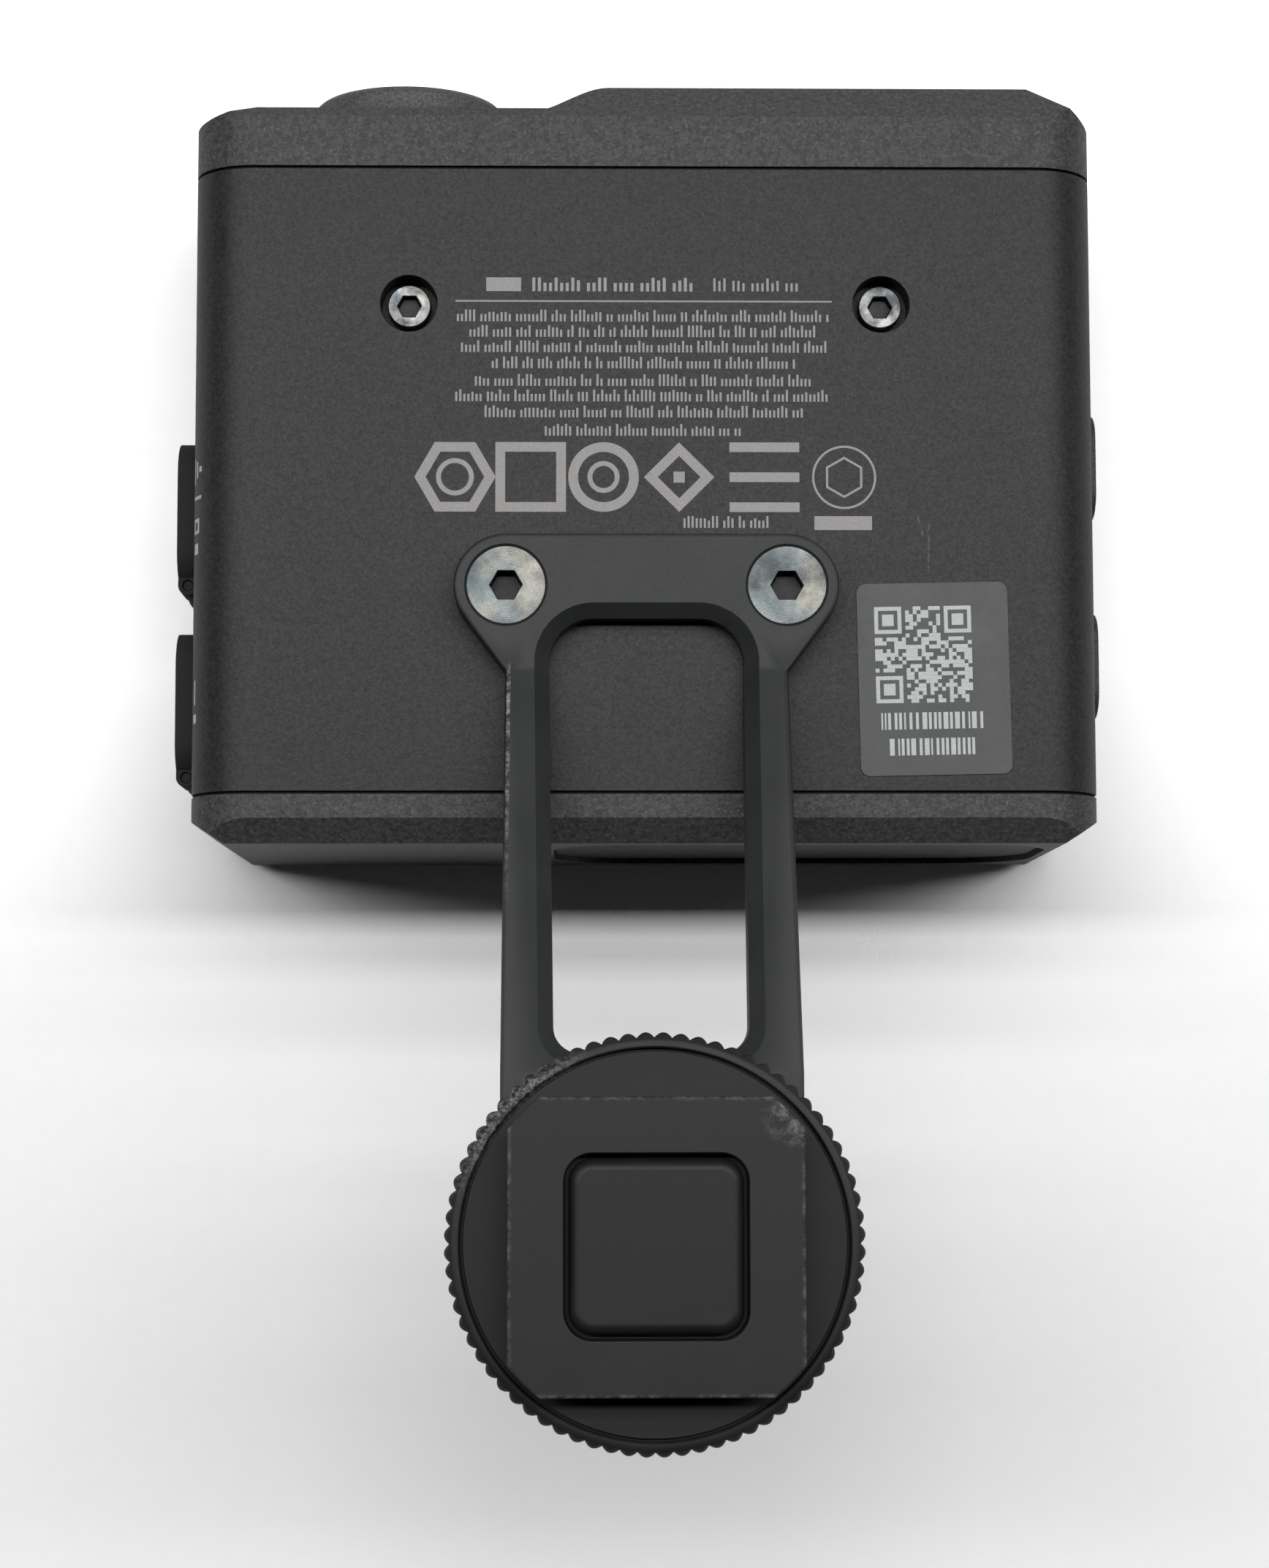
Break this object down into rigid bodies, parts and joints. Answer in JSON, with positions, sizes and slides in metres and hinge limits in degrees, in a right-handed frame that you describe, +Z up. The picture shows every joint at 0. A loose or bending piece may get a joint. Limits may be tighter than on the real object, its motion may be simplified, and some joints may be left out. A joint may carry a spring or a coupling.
{
  "type": "laser rangefinder",
  "caption": "Box-shaped laser rangefinder with a lens ring, ranging window, side buttons and rubber port covers, on a bent open arm with a knurled clamp wheel and a square shoe foot.",
  "frame": {"origin": "centre of the resting face, midway between the two parting lines of the housing", "axes": "+Y towards the lens side, +Z up out of the mounting face that carries the arm, +X across the housing towards the buttons"},
  "size_m": [0.0676, 0.097, 0.0525],
  "materials": {
    "cover_plastic": "coarse sand texture",
    "housing_plastic": "fine sand texture",
    "ring_plastic": "smooth satin",
    "trim_plastic": "fine matte",
    "seal_rubber": "matte",
    "barrel_metal": "matte black anodised",
    "lens_glass": "coated glass",
    "window_glass": "dark glossy",
    "board": "solder mask",
    "inner_plastic": "moulded",
    "chassis_metal": "machined",
    "shield_metal": "stamped",
    "steel": "worn",
    "cover_rubber": "soft matte",
    "button_plastic": "smooth",
    "label": "semi-gloss film",
    "blued_steel": "tarnished",
    "black_metal": "black anodised",
    "pad_metal": "black anodised",
    "disc_plastic": "matte"
  },
  "bodies": {
    "housing": {"front_cover": "cover_plastic", "mid_housing": "housing_plastic", "rear_cover": "cover_plastic", "rear_trim": "trim_plastic", "front_seal": "seal_rubber", "rear_seal": "seal_rubber", "lens_ring": "ring_plastic", "camera_barrel": "barrel_metal", "camera_lens": "lens_glass", "camera_board": "board", "lidar_window": "window_glass", "lidar_holder": "inner_plastic", "emitter_lens": "lens_glass", "receiver_lens": "lens_glass", "rangefinder_board": "board", "chassis_plate": "chassis_metal", "main_board": "board", "board_shield": "shield_metal", "board_screws": "steel", "port_board": "board", "port_sockets": "shield_metal", "side_board": "board", "button_switches": "inner_plastic", "cover_screws": "steel", "cover_straps": "cover_rubber", "label_sticker": "label", "case_screws": "steel", "arm_screws": "blued_steel", "arm": "black_metal", "shoe_foot": "black_metal", "stud_nut": "steel", "pad_spring": "steel"},
    "disc": {"pressure_disc": "disc_plastic"},
    "wheel": {"clamp_wheel": "black_metal"},
    "pad": {"foot_pad": "pad_metal", "pad_clip": "steel"},
    "button_front": {"button_front": "button_plastic"},
    "button_rear": {"button_rear": "button_plastic"},
    "cover_front": {"port_cover_front": "cover_rubber"},
    "cover_rear": {"port_cover_rear": "cover_rubber"}
  },
  "joints": [
    {"name": "wheel_lift", "type": "slide", "parent": "housing", "child": "disc", "axis": [0, 0, 1], "range_m": [-0.0015, 0.001]},
    {"name": "wheel_turn", "type": "hinge", "parent": "disc", "child": "wheel", "pos_m": [0, -0.0533, 0.0468], "axis": [0, 0, 1], "range_deg": [-543, 363]},
    {"name": "pad_press", "type": "slide", "parent": "housing", "child": "pad", "axis": [0, 0, 1], "range_m": [-0.0004, 0], "stiffness_N_per_m": 800, "springref_m": 0.001, "deforming": ["pad_spring"]},
    {"name": "button_front_press", "type": "slide", "parent": "housing", "child": "button_front", "axis": [-1, 0, 0], "range_m": [0, 0.0004], "stiffness_N_per_m": 800, "springref_m": -0.001},
    {"name": "button_rear_press", "type": "slide", "parent": "housing", "child": "button_rear", "axis": [-1, 0, 0], "range_m": [0, 0.0004], "stiffness_N_per_m": 800, "springref_m": -0.001},
    {"name": "cover_front_swing", "type": "hinge", "parent": "housing", "child": "cover_front", "pos_m": [-0.03343, -0.00665, 0.01275], "axis": [0, 0, 1], "range_deg": [0, 110]},
    {"name": "cover_rear_swing", "type": "hinge", "parent": "housing", "child": "cover_rear", "pos_m": [-0.03343, -0.0208, 0.01275], "axis": [0, 0, 1], "range_deg": [0, 110]}
  ],
  "couplings": [
    {"joint": "wheel_turn", "follows": "wheel_lift", "rad_per_m": 6283.2}
  ]
}
